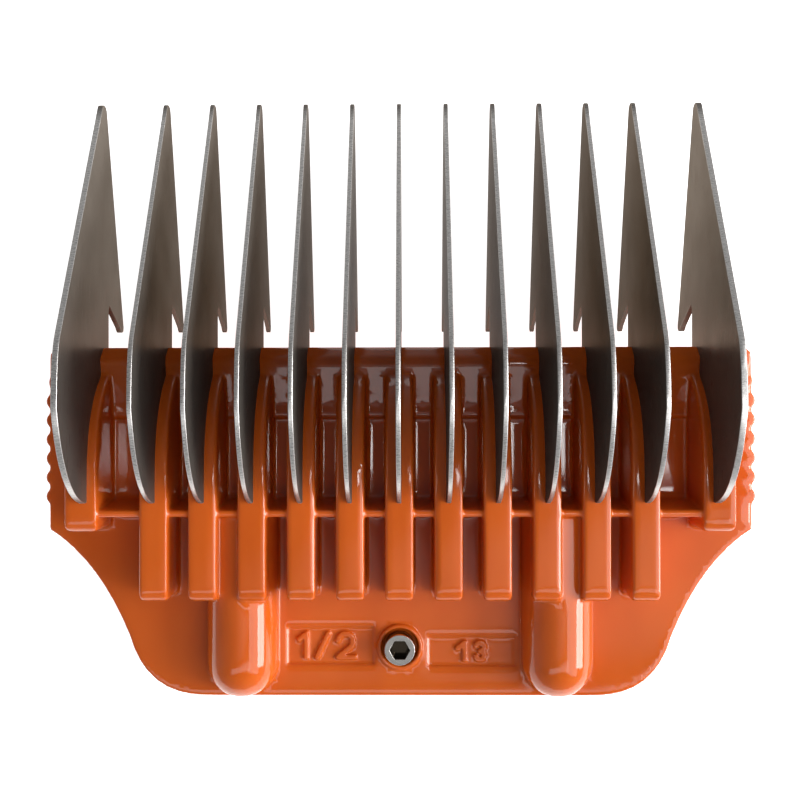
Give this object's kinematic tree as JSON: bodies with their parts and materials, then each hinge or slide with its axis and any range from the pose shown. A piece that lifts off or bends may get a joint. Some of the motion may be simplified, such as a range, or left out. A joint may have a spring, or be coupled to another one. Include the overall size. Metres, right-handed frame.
{
  "type": "clipper guard comb",
  "caption": "Wide clip-on clipper guard comb: flat steel teeth moulded into a plastic body, with a spring-loaded latch on the blade side.",
  "frame": {"origin": "under the middle of the outline, on the surface that the comb lies on, blade side down", "axes": "+X across the teeth to the right as seen from the skin side, +Y towards the tooth tips, +Z from the blade side to the skin side"},
  "size_m": [0.076, 0.0634, 0.02],
  "materials": {
    "orange_plastic": "glossy, moulded",
    "tooth_steel": "satin stamped faces with bright ground edges",
    "latch_steel": "bright rolled sheet",
    "spring_steel": "drawn wire",
    "fastener_steel": "bright nickel plate",
    "sleeve_brass": "turned"
  },
  "bodies": {
    "comb": {"body": "orange_plastic", "tooth_01": "tooth_steel", "tooth_02": "tooth_steel", "tooth_03": "tooth_steel", "tooth_04": "tooth_steel", "tooth_05": "tooth_steel", "tooth_06": "tooth_steel", "tooth_07": "tooth_steel", "tooth_08": "tooth_steel", "tooth_09": "tooth_steel", "tooth_10": "tooth_steel", "tooth_11": "tooth_steel", "tooth_12": "tooth_steel", "tooth_13": "tooth_steel", "left_spring": "spring_steel", "right_spring": "spring_steel", "latch_screw": "fastener_steel", "spacer_sleeve": "sleeve_brass", "latch_washer": "fastener_steel", "latch_nut": "fastener_steel"},
    "latch": {"latch_slider": "latch_steel"}
  },
  "joints": [
    {"name": "latch_slide", "type": "slide", "parent": "comb", "child": "latch", "axis": [0, -1, 0], "range_m": [0, 0.003], "stiffness_N_per_m": 300, "springref_m": -0.004, "deforming": ["left_spring", "right_spring"]}
  ]
}
